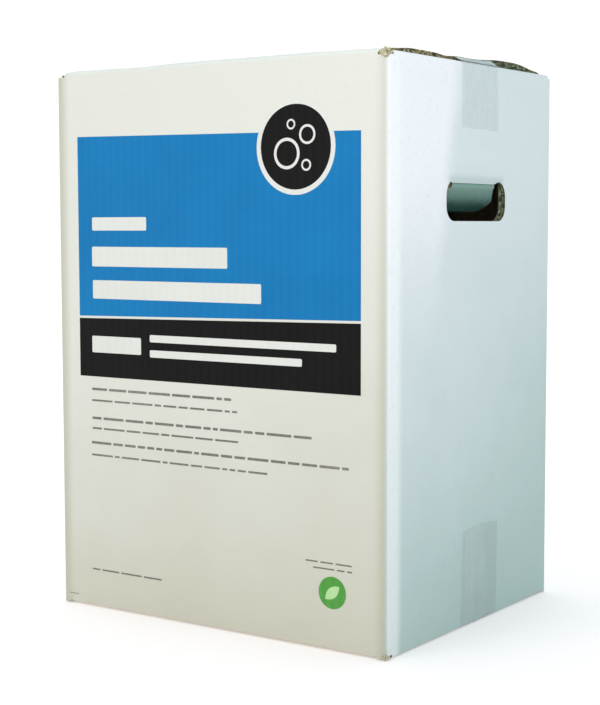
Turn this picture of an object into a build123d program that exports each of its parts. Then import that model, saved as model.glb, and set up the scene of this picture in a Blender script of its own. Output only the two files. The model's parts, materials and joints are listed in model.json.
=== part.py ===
from build123d import *
import os

# A washing powder carton: one slotted blank of double-wall corrugated board, folded into
# four wall panels with four flaps at each end, glued up one corner, taped shut top and
# bottom, with a die-cut hand hole in each side and a liner bag full of powder inside.
# Millimetres. The origin is the middle of the base, on the floor. The front faces -Y.

# The wall panels
box_width = 331.0  # across the front
box_depth = 271.0  # front to back
box_height = 457.0  # floor to the crease at the top of the wall panels
board = 6.6  # double-wall board
corner_radius = 7.0  # outside of the upright creases

# The flaps
major_crease_radius = 3.5  # outside of the front and back flaps' creases
minor_roll_radius = 2.2  # outside of the side flaps' rolled creases
minor_roll_width = 3.2  # flat top of that roll, from the side face
minor_ramp_width = 5.2  # how far the side flap travels inwards while it drops
flap_clearance = 0.4  # between a side flap and the front or back flap over it
slot_setback = 9.5  # from a side face to the cut ends of the front and back flaps
slot_clearance = 0.5  # between a side flap's cut edge and the wall beside it
slot_drop = 1.5  # how far the slots' ends lie past the creases
seam_gap = 1.0  # between the two flaps that meet at the middle
front_flap_bow = 5.2  # highest rise of the front top flap over its crease
back_flap_bow = 6.6  # the same for the back top flap
seam_rise = 3.7  # rise of both top flaps where the tape holds them down
seam_flat_margin = 6.0  # flat stretch of the flaps beside the tape

# The glued corner, at the back on the left
glue_tab_width = 35.0
glue_step = 1.5  # from the side face to the cut edge of the back panel
glue_slot_gap = 0.3  # between the two panels past the ends of the glued tab

# The hand holes and their tabs
hole_width = 98.0
hole_height = 32.0
hole_radius = 12.0
hole_centre_height = 345.0
hinge_length = 73.0
knuckle_clearance = 0.35  # between the tab's rounded hinge edge and the board round it
tab_clearance = 0.5  # between the tab's cut edge and the hole
shoulder_relief = 13.0  # height of the crushed board inside the hole's upper corners
tab_push_angle = 50.0  # how far the tabs are pushed in from flush

# The tape
tape_width = 60.0
tape_thickness = 0.1
top_tape_offset = 6.0  # from the middle of the depth, towards the back
bottom_tape_offset = 10.0
top_tape_leg = 55.0  # down the side from the crease
bottom_tape_leg = 82.0  # up the side from the floor
tape_peak = 0.4  # where the top tape leaves the side, below the crease

# The powder bag
bag_clearance = 1.0  # to the walls and the glued tab
bag_seat_gap = 0.3  # to the bottom side flaps
bag_height = 304.0  # filled to just below the hand holes
bag_corner_radius = 20.0
bag_shoulder_radius = 24.0
mouth_length = 210.0  # the bag's mouth, folded flat on top
mouth_width = 46.0
mouth_height = 6.0
mouth_radius = 2.5

past = 1.0  # how far a cutting solid reaches past what it cuts

half_width = box_width / 2
half_depth = box_depth / 2
minor_level = board + flap_clearance  # from a crease to the near face of the side flaps
end_band = minor_level + board + past  # height of the stretch that holds the folds
flap_half_length = half_width - slot_setback
minor_half_width = half_depth - board - slot_clearance
minor_flap_end = half_width - half_depth  # side flaps are half the depth long
hinge_height = hole_centre_height + hole_height / 2 - knuckle_clearance - board / 2
tape_back_edge = top_tape_offset + tape_width / 2
tape_front_edge = top_tape_offset - tape_width / 2


def block(low, high):
    """A box between two corners."""
    size = [b - a for a, b in zip(low, high)]
    middle = [(a + b) / 2 for a, b in zip(low, high)]
    return Pos(*middle) * Box(*size)


def wall_ring():
    """The four wall panels between the folded ends."""
    outer = RectangleRounded(box_width, box_depth, corner_radius)
    inner = Rectangle(box_width - 2 * board, box_depth - 2 * board)
    return Pos(0, 0, end_band) * extrude(outer - inner, amount=box_height - 2 * end_band)


def top_major_flap(front, bow, flat_edge):
    """The wall under a front or back top crease and its flap, bowed up, to the seam."""
    sign = -1 if front else 1
    wall_out, wall_in = sign * half_depth, sign * (half_depth - board)
    seam = sign * seam_gap / 2
    flat = sign * flat_edge
    crown = (wall_out + flat) / 2
    low, top = box_height - end_band, box_height
    lower_top = top - board
    edges = [
        Line((wall_out, low), (wall_out, top)),
        ThreePointArc((wall_out, top), (crown, top + bow), (flat, top + seam_rise)),
        Line((flat, top + seam_rise), (seam, top + seam_rise)),
        Line((seam, top + seam_rise), (seam, lower_top + seam_rise)),
        Line((seam, lower_top + seam_rise), (flat, lower_top + seam_rise)),
        ThreePointArc((flat, lower_top + seam_rise), (crown, lower_top + bow), (wall_in, lower_top)),
        Line((wall_in, lower_top), (wall_in, low)),
        Line((wall_in, low), (wall_out, low)),
    ]
    face = make_face(edges)
    crease = face.vertices().sort_by_distance((wall_out, top))[0]
    face = fillet(crease, major_crease_radius)
    return extrude(Plane.YZ * face, amount=flap_half_length, both=True)


def bottom_major_flap(front):
    """The wall over a front or back bottom crease and its flat flap, to the seam."""
    sign = -1 if front else 1
    wall_out, wall_in = sign * half_depth, sign * (half_depth - board)
    seam = sign * seam_gap / 2
    outline = Polyline(
        (wall_out, end_band), (wall_out, 0), (seam, 0), (seam, board),
        (wall_in, board), (wall_in, end_band), close=True,
    )
    face = make_face(outline)
    crease = face.vertices().sort_by_distance((wall_out, 0))[0]
    face = fillet(crease, major_crease_radius)
    return extrude(Plane.YZ * face, amount=flap_half_length, both=True)


def minor_flap(top):
    """The right wall at one end: a rolled crease, a short ramp and the flap inside."""
    edge = box_height if top else 0.0
    inwards = -1 if top else 1  # from the crease towards the middle of the height
    wall_in = half_width - board
    ramp_start = half_width - minor_roll_width
    ramp_end = ramp_start - minor_ramp_width
    near = edge + inwards * minor_level
    far = near + inwards * board
    start = edge + inwards * end_band
    outline = Polyline(
        (half_width, start), (half_width, edge), (ramp_start, edge), (ramp_end, near),
        (minor_flap_end, near), (minor_flap_end, far), (wall_in, far), (wall_in, start),
        close=True,
    )
    face = make_face(outline)
    crease = face.vertices().sort_by_distance((half_width, edge))[0]
    face = fillet(crease, minor_roll_radius)
    return extrude(Plane.XZ * face, amount=minor_half_width, both=True)


def corner_posts():
    """The upright creases beside the slots, at both ends of the four corners."""
    outer = RectangleRounded(box_width, box_depth, corner_radius)
    inner = Rectangle(box_width - 2 * board, box_depth - 2 * board)
    ring = outer - inner
    middle_x = Rectangle(2 * flap_half_length, 2 * box_depth)
    middle_y = Rectangle(2 * box_width, 2 * minor_half_width)
    posts = ring - middle_x - middle_y
    height = end_band - slot_drop
    low = Pos(0, 0, slot_drop) * extrude(posts, amount=height)
    high = Pos(0, 0, box_height - end_band) * extrude(posts, amount=height)
    return low + high


def glued_corner_cut():
    """What the back left corner lacks: the side panel turns in behind the back panel."""
    seam_y = half_depth - board
    radius = corner_radius
    left, below, above = -half_width - past, -past, box_height + past
    step = block((left, seam_y, below), (-half_width + glue_step, half_depth + past, above))
    spandrel = block((left, seam_y - radius, below), (-half_width + radius, seam_y, above))
    round_off = Pos(-half_width + radius, seam_y - radius, box_height / 2) * Cylinder(
        radius, 2 * box_height
    )
    cut = step + (spandrel - round_off)
    for low, high in ((below, end_band), (box_height - end_band, above)):
        cut += block((left, seam_y - glue_slot_gap, low), (-flap_half_length, seam_y, high))
    return cut


def glued_tab():
    """The joint tab of the left panel, glued inside the back panel."""
    left = -half_width + board
    back = half_depth - board
    return block(
        (left, back - board, end_band), (left + glue_tab_width, back, box_height - end_band)
    )


def knuckle(radius, length):
    """A round bar on the right tab's hinge line."""
    bar = Rot(90, 0, 0) * Cylinder(radius, length)
    return Pos(half_width - board / 2, 0, hinge_height) * bar


def hand_hole_cut():
    """The right hand hole, with a lip of outer liner round the tab's hinge edge."""
    hole = Plane.YZ * RectangleRounded(hole_width, hole_height, hole_radius)
    cut = Pos(half_width - 2 * board, 0, hole_centre_height) * extrude(hole, amount=3 * board)
    top = hole_centre_height + hole_height / 2
    lip = block(
        (half_width - board / 2, -hinge_length / 2, hinge_height),
        (half_width + 2 * board, hinge_length / 2, top),
    ) - knuckle(board / 2 + knuckle_clearance, hinge_length)
    cut -= lip
    relief = block(
        (half_width - 2 * board, -hole_width / 2, top - shoulder_relief),
        (half_width - board / 2 + knuckle_clearance, hole_width / 2, top),
    )
    return cut + relief


def tape_profile(peak, ridge, half_span, leg_end):
    """The outline under a tape that crosses the top and runs down both sides."""
    setback = half_width - flap_half_length
    return make_face(
        Polyline(
            (-half_span, leg_end), (-half_span, peak), (-half_span + setback, ridge),
            (half_span - setback, ridge), (half_span, peak), (half_span, leg_end), close=True,
        )
    )


def top_tape_inside():
    """Everything under the top tape's sticky face, over the tape's width."""
    face = tape_profile(
        box_height - tape_peak - tape_thickness,
        box_height + seam_rise - tape_thickness,
        half_width - tape_thickness,
        0.0,
    )
    return Pos(0, top_tape_offset, 0) * extrude(Plane.XZ * face, amount=tape_width / 2, both=True)


def top_tape():
    """Clear tape along the top seam, over both sides and down to its cut ends."""
    face = tape_profile(
        box_height - tape_peak, box_height + seam_rise, half_width, box_height - top_tape_leg
    )
    solid = Pos(0, top_tape_offset, 0) * extrude(Plane.XZ * face, amount=tape_width / 2, both=True)
    return solid - top_tape_inside()


def bottom_tape_block(inset, leg_top):
    """The space inside the bottom tape's outer face, set in by the given amount."""
    outline = make_face(
        Polyline(
            (-half_width + inset, leg_top), (-half_width + inset, inset),
            (half_width - inset, inset), (half_width - inset, leg_top), close=True,
        )
    )
    creases = outline.vertices().sort_by(Axis.Y)[:2]
    face = fillet(creases, minor_roll_radius - inset)
    return Pos(0, bottom_tape_offset, 0) * extrude(
        Plane.XZ * face, amount=tape_width / 2, both=True
    )


def bottom_tape_inside():
    """Everything over the bottom tape's sticky face, over the tape's width."""
    return bottom_tape_block(tape_thickness, box_height)


def bottom_tape():
    """Clear tape along the bottom seam and up both sides to its torn ends."""
    return bottom_tape_block(0.0, bottom_tape_leg) - bottom_tape_inside()


def tape_recess(offset, low, high, inside):
    """What a tape presses flat into the liner: all that lies outside its sticky face."""
    around = block(
        (-half_width - past, offset - tape_width / 2, low),
        (half_width + past, offset + tape_width / 2, high),
    )
    return around - inside


def carton():
    """The whole folded and glued blank."""
    above = box_height + back_flap_bow + past
    body = wall_ring() + corner_posts() + glued_tab()
    body += top_major_flap(True, front_flap_bow, seam_flat_margin - tape_front_edge)
    body += top_major_flap(False, back_flap_bow, seam_flat_margin + tape_back_edge)
    body += bottom_major_flap(True) + bottom_major_flap(False)
    for at_top in (True, False):
        flap = minor_flap(at_top)
        body += flap + mirror(flap, Plane.YZ)
    body -= glued_corner_cut()
    hole = hand_hole_cut()
    body -= hole
    body -= mirror(hole, Plane.YZ)
    body -= tape_recess(top_tape_offset, box_height - top_tape_leg, above, top_tape_inside())
    body -= tape_recess(bottom_tape_offset, -past, bottom_tape_leg, bottom_tape_inside())
    return body


def right_hand_tab():
    """The die-cut tab of the right hand hole, rounded where it bends, pushed in."""
    bottom = hole_centre_height - hole_height / 2 + tab_clearance
    top = hinge_height + board / 2
    width = hole_width - 2 * tab_clearance
    outline = Plane.YZ * RectangleRounded(width, top - bottom, hole_radius - tab_clearance)
    plate = Pos(half_width - board, 0, (top + bottom) / 2) * extrude(outline, amount=board)
    below = block(
        (half_width - board, -hole_width, bottom - past), (half_width, hole_width, hinge_height)
    )
    tab = plate & (below + knuckle(board / 2, hinge_length))
    hinge = Axis((half_width - board / 2, 0, hinge_height), (0, 1, 0))
    return tab.rotate(hinge, tab_push_angle)


def powder_bag():
    """The sealed liner bag, filled and settled, its mouth folded flat on top."""
    seat = minor_level + board + bag_seat_gap
    across = box_width - 2 * (board + bag_clearance)
    deep = box_depth - 2 * (board + bag_clearance)
    body = Pos(0, 0, seat) * extrude(
        RectangleRounded(across, deep, bag_corner_radius), amount=bag_height
    )
    body = fillet(body.faces().sort_by(Axis.Z)[-1].edges(), bag_shoulder_radius)
    top = seat + bag_height
    mouth = Pos(0, 0, top - mouth_height) * extrude(
        RectangleRounded(mouth_length, mouth_width, mouth_width / 4), amount=2 * mouth_height
    )
    mouth = fillet(mouth.faces().sort_by(Axis.Z)[-1].edges(), mouth_radius)
    keep_out = block(
        (-half_width, half_depth - 2 * board - bag_clearance, 0),
        (-half_width + board + glue_tab_width + bag_clearance, half_depth, box_height),
    )
    return body + mouth - keep_out


def main():
    os.makedirs("parts", exist_ok=True)
    tab = right_hand_tab()
    nodes = {
        "carton": carton(),
        "right_hand_tab": tab,
        "left_hand_tab": mirror(tab, Plane.YZ),
        "top_tape": top_tape(),
        "bottom_tape": bottom_tape(),
        "powder_bag": powder_bag(),
    }
    for name, shape in nodes.items():
        export_step(shape, f"parts/{name}.step")
        print(name, "volume", round(shape.volume), "mm3, solids", len(shape.solids()))


main()
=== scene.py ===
# %% [markdown]
# # A carton of washing powder, folded from its blank
# This lesson builds the looks of a taped corrugated carton round a fixed frame. The frame is
# the imported construction model: it says where every piece is and what turns. Nothing here
# moves it. We load it first, keep its box, and take the width, the depth, the tapes, the bag
# and the hinges from it.

# %% Load the frame
import json
import math
import random

import bmesh
import bpy
from mathutils import Matrix, Vector, noise


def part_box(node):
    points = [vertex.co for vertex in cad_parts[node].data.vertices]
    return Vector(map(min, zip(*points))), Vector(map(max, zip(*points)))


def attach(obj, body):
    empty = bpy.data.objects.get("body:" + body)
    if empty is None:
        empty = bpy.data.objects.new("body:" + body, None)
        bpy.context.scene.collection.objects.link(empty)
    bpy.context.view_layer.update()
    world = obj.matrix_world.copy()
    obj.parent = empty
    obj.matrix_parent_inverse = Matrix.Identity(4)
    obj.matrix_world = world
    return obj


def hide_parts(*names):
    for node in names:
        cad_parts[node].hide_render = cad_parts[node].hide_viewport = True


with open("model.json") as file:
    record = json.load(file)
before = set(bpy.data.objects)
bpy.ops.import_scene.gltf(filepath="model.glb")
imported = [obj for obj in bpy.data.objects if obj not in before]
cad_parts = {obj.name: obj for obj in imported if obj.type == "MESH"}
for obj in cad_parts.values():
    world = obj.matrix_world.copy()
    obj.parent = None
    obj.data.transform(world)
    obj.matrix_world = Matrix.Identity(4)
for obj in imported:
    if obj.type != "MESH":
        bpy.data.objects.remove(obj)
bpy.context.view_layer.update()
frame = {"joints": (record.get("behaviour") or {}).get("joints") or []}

MM = 0.001

# %% [markdown]
# ## Sizes
# The frame's boxes give the width, the depth and the tapes. A few more sizes belong to the
# board itself: its thickness, how far its slots reach and how tightly each crease turns.
# They could be buried in the code where they are used, but a carton's parts all share
# them, so they get names here.

# %% Sizes of the carton
low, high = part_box("carton")
WIDTH, DEPTH = high.x - low.x, high.y - low.y
HEIGHT = 457 * MM  # floor to the top creases
BOARD = 6.6 * MM
CORNER_RADIUS = 7 * MM  # of the front right corner, the one most often knocked
SHARP_RADIUS = 3.5 * MM  # of the other three upright corners
MAJOR_RADIUS = 3.5 * MM  # at the front and back creases
ROLL_RADIUS = 2.2 * MM  # at the side creases
SLOT_DEPTH = 3.6 * MM  # from a crease back into the wall
SETBACK = 9.5 * MM  # from a side face to a major flap's cut end
MINOR_SIDE_GAP = BOARD + 0.5 * MM  # from the front face to a minor flap's cut edge
MINOR_LEVEL = BOARD + 0.4 * MM  # how far the minor flaps lie inside the creases
SEAM = 0.5 * MM  # half the gap where the major flaps meet
GLUE_TAB = 35 * MM
GLUE_STEP = 1.5 * MM  # from the left face to the back panel's cut edge
HOLE_WIDTH, HOLE_HEIGHT, HOLE_RADIUS = 98 * MM, 32 * MM, 12 * MM
HOLE_MIDDLE = 345 * MM
HINGE_FRONT, HINGE_BACK = 40 * MM, 29.5 * MM  # ends of the crease, from the middle of the hole
TAB_CLEARANCE = 0.5 * MM
KNUCKLE = BOARD / 2  # radius of a tab's rolled upper edge
SOCKET = KNUCKLE + 0.35 * MM  # radius of the hollow over it
hinge = {j["child"]: Vector(j["pos_m"]) for j in frame["joints"]}
HINGE_HEIGHT = hinge["right_tab"].z
print("width %.3f depth %.3f, hinge at %.4f" % (WIDTH, DEPTH, HINGE_HEIGHT))

# %% [markdown]
# ## The camera
# A long lens stands well back, a little above the middle of the box, and looks past the
# upright edge between the front and the right side. It could be placed by hand and eye.
# Here its place is three distances from the middle of the box along its own axes, so the
# view stays with the box if a size changes.

# %% Camera
CAMERA_TURN, CAMERA_RISE, CAMERA_ROLL = (math.radians(a) for a in (34.96, 4.74, -0.12))
back = Vector((
    math.sin(CAMERA_TURN) * math.cos(CAMERA_RISE),
    -math.cos(CAMERA_TURN) * math.cos(CAMERA_RISE),
    math.sin(CAMERA_RISE),
))
right = Vector((math.cos(CAMERA_TURN), math.sin(CAMERA_TURN), 0))
up = back.cross(right)
middle = Vector((0, 0, HEIGHT / 2))
eye = middle + HEIGHT * (2.905 * back - 0.014 * right - 0.028 * up)
camera = bpy.data.objects.new("camera", bpy.data.cameras.new("camera"))
bpy.context.scene.collection.objects.link(camera)
turn = Matrix((right, up, back)).transposed() @ Matrix.Rotation(CAMERA_ROLL, 3, "Z")
camera.matrix_world = Matrix.Translation(eye) @ turn.to_4x4()
camera.data.lens = 77.9
camera.data.clip_end = 50
bpy.context.scene.camera = camera
print("camera at", [round(c, 3) for c in eye])

# %% [markdown]
# ## Studio
# The box stands on a pale floor in soft light. One white world would light every side of
# the box alike, so its panels would run together. Here the world is white only near the
# horizon, where it is the background, and cooler and dimmer above. A high lamp keeps the
# floor white, a warm lamp on the left gives the front panel its own tone, and a small lamp
# picks out the front right corner.

# %% Lamps
scene = bpy.context.scene
scene.view_settings.view_transform = "Standard"


def lamp(name, place, target, size, power, colour):
    """A soft square lamp that faces a point."""
    light = bpy.data.lights.new(name, "AREA")
    light.shape = "SQUARE"
    light.size = size
    light.energy = power
    light.color = colour
    thing = bpy.data.objects.new(name, light)
    scene.collection.objects.link(thing)
    facing = (Vector(place) - Vector(target)).to_track_quat("Z", "Y")
    thing.matrix_world = Matrix.Translation(place) @ facing.to_matrix().to_4x4()


lamp("high_lamp", (-0.4, 0.3, 2.6), (0, 0, 0), 2.4, 34, (1.0, 1.0, 1.0))
lamp("front_lamp", (-0.9, -2.2, 1.3), (0, 0, 0.25), 1.2, 10, (1.0, 0.94, 0.82))
lamp("corner_lamp", (0.62, -0.66, 0.78), (0.165, -0.135, 0.38), 0.3, 1.5, (0.93, 0.95, 1.0))


# %% A finished bmesh becomes an object
def new_object(name, bm, *materials):
    """Writes a bmesh to a new object, with hard edges where the surface turns sharply."""
    for edge in bm.edges:
        edge.smooth = edge.is_manifold and edge.calc_face_angle(0) < math.radians(38)
    for face in bm.faces:
        face.smooth = True
    mesh = bpy.data.meshes.new(name)
    bm.to_mesh(mesh)
    bm.free()
    made = bpy.data.objects.new(name, mesh)
    scene.collection.objects.link(made)
    for item in materials:
        mesh.materials.append(item)
    print(name, len(mesh.vertices), "vertices", len(mesh.polygons), "faces")
    return made


# %% [markdown]
# ## Writing materials as sums
# Shader graphs are easier to read as arithmetic. One small class wraps a node's output:
# adding, multiplying or comparing it makes the Math node, and node() makes any other.

# %% A socket that does sums
class Knob:
    """One output socket of a node tree."""

    def __init__(self, tree, socket=None):
        self.tree = tree
        self.socket = socket

    def node(self, kind, settings=None, sockets=None, out=0):
        """Adds a node with its own settings and its inputs, and wraps one of its outputs."""
        made = self.tree.nodes.new(kind)
        for name, value in (settings or {}).items():
            setattr(made, name, value)
        for key, value in (sockets or {}).items():
            if isinstance(value, Knob):
                self.tree.links.new(value.socket, made.inputs[key])
            else:
                made.inputs[key].default_value = value
        return Knob(self.tree, made.outputs[out] if made.outputs else None)

    def maths(self, operation, *values):
        return self.node("ShaderNodeMath", {"operation": operation}, dict(enumerate(values)))

    def __add__(self, other):
        return self.maths("ADD", self, other)

    __radd__ = __add__

    def __sub__(self, other):
        return self.maths("SUBTRACT", self, other)

    def __rsub__(self, other):
        return self.maths("SUBTRACT", other, self)

    def __mul__(self, other):
        return self.maths("MULTIPLY", self, other)

    __rmul__ = __mul__

    def __truediv__(self, other):
        return self.maths("DIVIDE", self, other)

    def __abs__(self):
        return self.maths("ABSOLUTE", self)

    def step(self, start, end):
        """0 before start and 1 after end, with a smooth ramp between."""
        settings = {"interpolation_type": "SMOOTHSTEP"}
        sockets = {"Value": self, "From Min": start, "From Max": end}
        if start > end:
            sockets = {"Value": self, "From Min": end, "From Max": start, "To Min": 1.0, "To Max": 0.0}
        return self.node("ShaderNodeMapRange", settings, sockets)

    def mix(self, first, second):
        """Colour first where this is 0, and second where it is 1."""
        first, second = ((*c, 1) if isinstance(c, tuple) else c for c in (first, second))
        sockets = {0: self, 6: first, 7: second}
        return self.node("ShaderNodeMix", {"data_type": "RGBA", "clamp_factor": True}, sockets, 2)

    def noise(self, scale, detail=2.0, roughness=0.5, stretch=(1, 1, 1)):
        """Noise from a vector, about 0.5, with its pattern stretched along an axis."""
        scaled = self.node("ShaderNodeVectorMath", {"operation": "MULTIPLY"}, {0: self, 1: stretch})
        sockets = {"Vector": scaled, "Scale": scale, "Detail": detail, "Roughness": roughness}
        return self.node("ShaderNodeTexNoise", None, sockets)

    def bump(self, strength, distance):
        sockets = {"Height": self, "Strength": strength, "Distance": distance}
        return self.node("ShaderNodeBump", None, sockets)


def material(name, finish):
    made = bpy.data.materials.new(name)
    made.use_nodes = True
    tree = made.node_tree
    tree.nodes.clear()
    shader = Knob(tree).node("ShaderNodeBsdfPrincipled", None, finish(Knob(tree)))
    Knob(tree).node("ShaderNodeOutputMaterial", None, {"Surface": shader})
    return made


def place_of(knob):
    """The point in the object's space, and its three parts."""
    point = knob.node("ShaderNodeTexCoord", out="Object")
    parts = [point.node("ShaderNodeSeparateXYZ", None, {0: point}, axis) for axis in range(3)]
    return point, *parts


def blank_place(knob):
    """Where the surface lay on the flat blank: along its girth, up it, and into the board."""
    flat = knob.node("ShaderNodeAttribute", {"attribute_name": "blank"}, out="Vector")
    parts = [flat.node("ShaderNodeSeparateXYZ", None, {0: flat}, axis) for axis in range(3)]
    return flat, *parts


# %% [markdown]
# ## World
# The world is both the backdrop and the light from all round. Its colour depends only on
# how far up one looks, so the backdrop stays white while the light from above is cooler.
# A panorama of a room would also do, but matt board has no use for its reflections.

# %% World
world = bpy.data.worlds.new("studio")
scene.world = world
world.use_nodes = True
world.node_tree.nodes.clear()
sky = Knob(world.node_tree)
direction = sky.node("ShaderNodeTexCoord", out="Generated")
rise = direction.node("ShaderNodeSeparateXYZ", None, {0: direction}, "Z")
sky_colour = rise.step(0.10, 0.40).mix((1.06, 1.06, 1.06), (0.40, 0.52, 0.56))
background = sky.node("ShaderNodeBackground", None, {"Color": sky_colour, "Strength": 1.0})
sky.node("ShaderNodeOutputWorld", None, {"Surface": background})
print("world", len(world.node_tree.nodes), "nodes")

# %% [markdown]
# ## White liner
# The carton's outside is a white-top liner: bleached pulp over brown, so it looks a little
# cloudy. The flutes behind it print through as faint upright ribs, because the paste pulls
# the liner in at each flute tip. The pattern reads the place on the flat blank, not on the
# folded box, so the ribs run along the flutes on every panel and flap. Each panel is painted
# with its own light and shade: the front is cream, painted lighter high up and on the left,
# with painted shade at its edges, and the right side is a cool grey with painted shade that
# deepens towards its foot and its back, and a painted highlight high up near the front corner.

# %% White liner finish
FLUTE_PITCH = 7.9 * MM


def ribs(flat, along):
    """Faint ribs from the flutes, uneven in height."""
    phase = along * (2 * math.pi / FLUTE_PITCH)
    uneven = flat.noise(18, 2, 0.5, (1, 0.25, 1))
    return phase.maths("SINE", phase) * (0.4 + uneven)


def front_light_and_shade(up_wall, along, cloud):
    """Cream, painted lighter high up and on the left, with painted shade beside the upright edges."""
    light = (up_wall + cloud * 0.14 - along * 0.5).step(-0.15, 0.78)
    tone = light.mix((0.575, 0.548, 0.445), (0.725, 0.712, 0.65))
    # Painted shade in bands along the left and right upright edges, the right one strongest low down.
    edge_shade = (along + WIDTH / 2).step(16 * MM, 2 * MM) * 0.85
    edge_shade += (along - WIDTH / 2).step(-14 * MM, -3 * MM) * (0.9 - up_wall * 0.6)
    return edge_shade.mix(tone, (0.50, 0.475, 0.37))


def side_light_and_shade(up_wall, y, cloud):
    """A cool grey painted as shade, deepening downwards and backwards, with a painted highlight at the
    top front.
    """
    shade = (1 - up_wall) * 0.85 + y * 1.1 + cloud * 0.12
    tone = shade.step(0.22, 1.0).mix((0.66, 0.725, 0.74), (0.40, 0.53, 0.505))
    # The painted highlight: a pale zone high up near the front corner.
    glare = (y + (1 - up_wall) * 0.10 + cloud * 0.02).step(0.0, -0.035)
    glare *= (up_wall + cloud * 0.1).step(0.52, 0.86)
    return glare.mix(tone, (0.86, 0.875, 0.91))


def side_highlight_and_shade(side, up_wall, along, height):
    """Plainer on the left and back, with a painted highlight at the corner and painted shade above a
    hole.
    """
    plain = along.step(-WIDTH / 2 + 2 * MM, -WIDTH / 2 - 2 * MM)
    plain += along.step(WIDTH / 2 + DEPTH - 2 * MM, WIDTH / 2 + DEPTH + 2 * MM)
    side = (plain * 0.5).mix(side, (0.70, 0.735, 0.735))
    past_corner = along - WIDTH / 2
    # Painted highlight on the side, next to the rounded front right corner.
    corner = past_corner.step(-1 * MM, 3 * MM) * past_corner.step(24 * MM, 13 * MM)
    pale = (up_wall + 0.25).mix((0.72, 0.78, 0.75), (0.92, 0.93, 0.94))
    side = (corner * 0.8).mix(side, pale)
    # Painted shade in a band just above each hand hole.
    across = abs(abs(along) - (WIDTH + DEPTH) / 2)
    shade_over_hole = across.step(HOLE_WIDTH / 2, HOLE_WIDTH / 2 - 8 * MM) * 0.5
    shade_over_hole *= (height - HOLE_MIDDLE - HOLE_HEIGHT / 2).step(7 * MM, 0)
    shade_over_hole *= (height - HOLE_MIDDLE).step(0, 5 * MM)
    return shade_over_hole.mix(side, (0.36, 0.46, 0.44))


def white_liner_finish(knob):
    point, x, y, z = place_of(knob)
    flat, along, height, depth = blank_place(knob)
    up_wall = z / HEIGHT
    cloud = point.noise(9, 4, 0.6).step(0.3, 0.72)
    fleck = point.noise(260, 3, 0.7).step(0.52, 0.75)
    fibre = flat.noise(1400, 2, 0.6, (1, 0.35, 1))
    # The front and the sides each get their own painted light and shade.
    front = front_light_and_shade(up_wall, along, cloud)
    side = side_highlight_and_shade(side_light_and_shade(up_wall, y, cloud), up_wall, along, height)
    colour = abs(along).step(WIDTH / 2 - 3 * MM, WIDTH / 2 + 3 * MM).mix(front, side)
    flap = height.step(HEIGHT, HEIGHT + 30 * MM) + height.step(0, -20 * MM)
    colour = flap.mix(colour, cloud.mix((0.74, 0.745, 0.72), (0.69, 0.69, 0.645)))
    colour = (fleck * 0.3).mix(colour, (0.62, 0.63, 0.58))
    rub = point.noise(55, 5, 0.75).step(0.62, 0.72) * z.step(0.10, 0.0)
    colour = (rub * 0.4).mix(colour, (0.47, 0.44, 0.35))
    relief = ribs(flat, along) * 0.45 + fibre * 0.25 + point.noise(40, 3, 0.5) * 0.5
    return {
        "Base Color": colour,
        "Roughness": 0.52 + fleck * 0.2,
        "Specular IOR Level": 0.3,
        "Normal": relief.bump(0.5, 0.00012),
    }


def kraft_finish(knob):
    """The brown liner inside the carton."""
    point, x, y, z = place_of(knob)
    fibre = point.noise(500, 4, 0.7)
    colour = fibre.step(0.3, 0.7).mix((0.30, 0.205, 0.11), (0.47, 0.35, 0.21))
    return {"Base Color": colour, "Roughness": 0.85, "Normal": fibre.bump(0.5, 0.0002)}


def raw_edge_finish(knob):
    """The crushed flutes and torn fibres of a cut edge, browner in front, painted darker and greener
    behind as shade.
    """
    point, x, y, z = place_of(knob)
    blotch = point.noise(190, 3, 0.65)
    fibre = point.noise(1100, 3, 0.7)
    # Painted shade: edges towards the back get darker, greener colours.
    behind = y.step(-0.02, 0.04)
    dark = behind.mix((0.070, 0.050, 0.017), (0.045, 0.055, 0.030))
    middle = behind.mix((0.31, 0.26, 0.125), (0.20, 0.215, 0.12))
    light = behind.mix((0.68, 0.62, 0.42), (0.42, 0.45, 0.32))
    colour = blotch.step(0.43, 0.56).mix(dark, middle)
    pale = point.noise(330, 3, 0.6).step(0.53, 0.62)
    colour = (pale * 0.9).mix(colour, light)
    return {"Base Color": colour, "Roughness": 0.9, "Normal": (blotch + fibre * 0.5).bump(0.9, 0.0006)}


white_liner = material("white_liner", white_liner_finish)
kraft_liner = material("kraft_liner", kraft_finish)
raw_edge = material("raw_edge", raw_edge_finish)
print("liner made of", len(white_liner.node_tree.nodes), "nodes")

# %% [markdown]
# ## How the blank folds
# The real carton is one sheet. It is drawn flat here as well, in three directions: along
# the girth, up the wall, and into the board's thickness. A path with rounded corners then
# says where each point of the flat sheet goes. Four separate walls would be quicker, but
# then the creases, slots and flaps would never quite join.

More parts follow.
